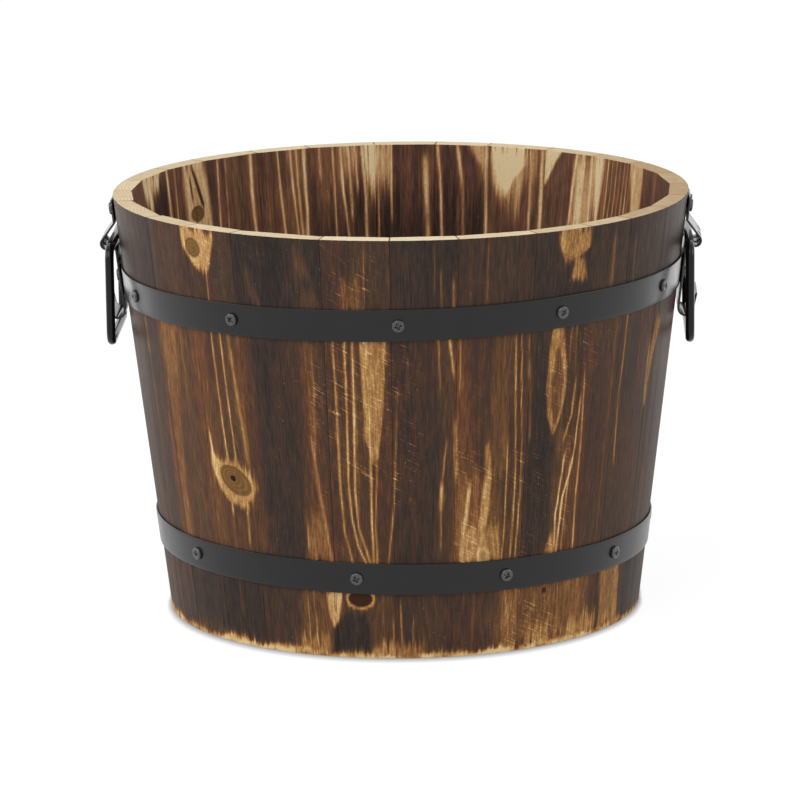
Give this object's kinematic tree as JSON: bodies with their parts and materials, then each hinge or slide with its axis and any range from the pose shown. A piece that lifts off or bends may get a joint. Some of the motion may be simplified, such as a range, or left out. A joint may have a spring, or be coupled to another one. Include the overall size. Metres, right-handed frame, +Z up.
{
  "type": "wooden barrel planter",
  "caption": "Round tapered barrel planter of scorched wooden staves with flat black steel hoops and drop ring handles on strap brackets, open at the top.",
  "frame": {"origin": "middle of the base, on the ground", "axes": "+X through the right handle, +Y to the back, +Z up"},
  "size_m": [0.4172, 0.4, 0.293],
  "materials": {
    "scorched_fir": "scorched and wire-brushed, satin",
    "floor_wood": "bare sawn softwood, lightly scorched",
    "hoop_steel": "satin black",
    "bracket_steel": "semi-gloss black",
    "ring_steel": "gloss black",
    "screw_steel": "satin black"
  },
  "bodies": {
    "barrel": {"stave_01": "scorched_fir", "stave_02": "scorched_fir", "stave_03": "scorched_fir", "stave_04": "scorched_fir", "stave_05": "scorched_fir", "stave_06": "scorched_fir", "stave_07": "scorched_fir", "stave_08": "scorched_fir", "stave_09": "scorched_fir", "stave_10": "scorched_fir", "stave_11": "scorched_fir", "stave_12": "scorched_fir", "stave_13": "scorched_fir", "stave_14": "scorched_fir", "stave_15": "scorched_fir", "stave_16": "scorched_fir", "stave_17": "scorched_fir", "stave_18": "scorched_fir", "stave_19": "scorched_fir", "stave_20": "scorched_fir", "stave_21": "scorched_fir", "stave_22": "scorched_fir", "stave_23": "scorched_fir", "stave_24": "scorched_fir", "stave_25": "scorched_fir", "stave_26": "scorched_fir", "floor_board_1": "floor_wood", "floor_board_2": "floor_wood", "floor_board_3": "floor_wood", "floor_board_4": "floor_wood", "floor_board_5": "floor_wood", "top_hoop": "hoop_steel", "bottom_hoop": "hoop_steel", "top_hoop_screws": "screw_steel", "bottom_hoop_screws": "screw_steel", "right_bracket": "bracket_steel", "left_bracket": "bracket_steel", "right_bracket_screws": "screw_steel", "left_bracket_screws": "screw_steel"},
    "right_handle": {"right_ring": "ring_steel"},
    "left_handle": {"left_ring": "ring_steel"}
  },
  "joints": [
    {"name": "right_ring_swing", "type": "hinge", "parent": "barrel", "child": "right_handle", "pos_m": [0.19956, 0, 0.25982], "axis": [0, -1, 0], "range_deg": [-7, 183]},
    {"name": "left_ring_swing", "type": "hinge", "parent": "barrel", "child": "left_handle", "pos_m": [-0.19956, 0, 0.25982], "axis": [0, 1, 0], "range_deg": [-7, 183]}
  ]
}
